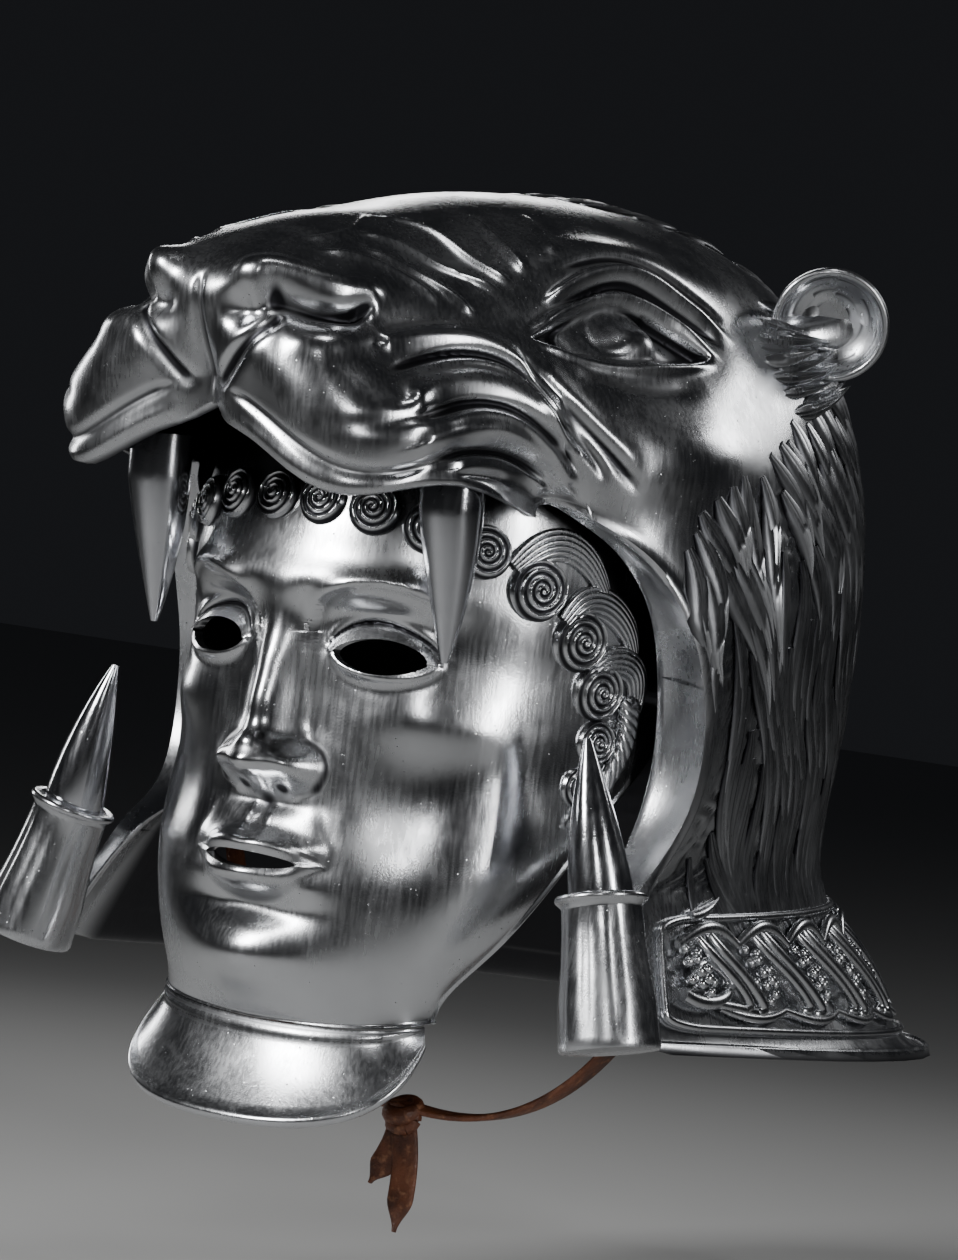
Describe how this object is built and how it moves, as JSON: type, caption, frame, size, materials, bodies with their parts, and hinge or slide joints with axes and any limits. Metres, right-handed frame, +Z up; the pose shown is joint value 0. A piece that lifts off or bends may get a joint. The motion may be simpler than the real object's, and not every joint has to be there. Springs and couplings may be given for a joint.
{
  "type": "great cat parade helmet with face mask",
  "caption": "Parade helmet cast as an open-jawed great cat's head over a face mask, with fangs, a flared neck guard and a leather chin thong.",
  "frame": {"origin": "the crown seat: the midline point at the top of the shell's hollow, where the wearer's head carries the helmet", "axes": "+X to the wearer's left, +Y to the back of the head (the face looks along -Y), +Z up"},
  "size_m": [0.2788, 0.4061, 0.3494],
  "materials": {
    "cast_metal": "polished casting, dark in the recesses",
    "mask_metal": "polished",
    "fang_metal": "polished",
    "hair_metal": "polished casting, dark in the grooves",
    "post_metal": "plain",
    "thong_leather": "worn brown lace leather"
  },
  "bodies": {
    "root": {"helmet_shell": "cast_metal", "mask": "mask_metal", "chin_plate": "mask_metal", "guard_border": "cast_metal", "garland": "cast_metal", "fang_upper_left": "fang_metal", "fang_lower_left": "fang_metal", "temple_post_left": "post_metal", "jaw_post_left": "post_metal", "thong_rivet_left": "post_metal", "curl_brow_a_left": "hair_metal", "curl_brow_b_left": "hair_metal", "curl_brow_c_left": "hair_metal", "curl_brow_d_left": "hair_metal", "curl_temple_a_left": "hair_metal", "curl_temple_b_left": "hair_metal", "curl_temple_c_left": "hair_metal", "curl_side_a_left": "hair_metal", "curl_side_b_left": "hair_metal", "fang_upper_right": "fang_metal", "fang_lower_right": "fang_metal", "temple_post_right": "post_metal", "jaw_post_right": "post_metal", "thong_rivet_right": "post_metal", "curl_brow_a_right": "hair_metal", "curl_brow_b_right": "hair_metal", "curl_brow_c_right": "hair_metal", "curl_brow_d_right": "hair_metal", "curl_temple_a_right": "hair_metal", "curl_temple_b_right": "hair_metal", "curl_temple_c_right": "hair_metal", "curl_side_a_right": "hair_metal", "curl_side_b_right": "hair_metal", "chin_thong": "thong_leather"}
  },
  "joints": []
}
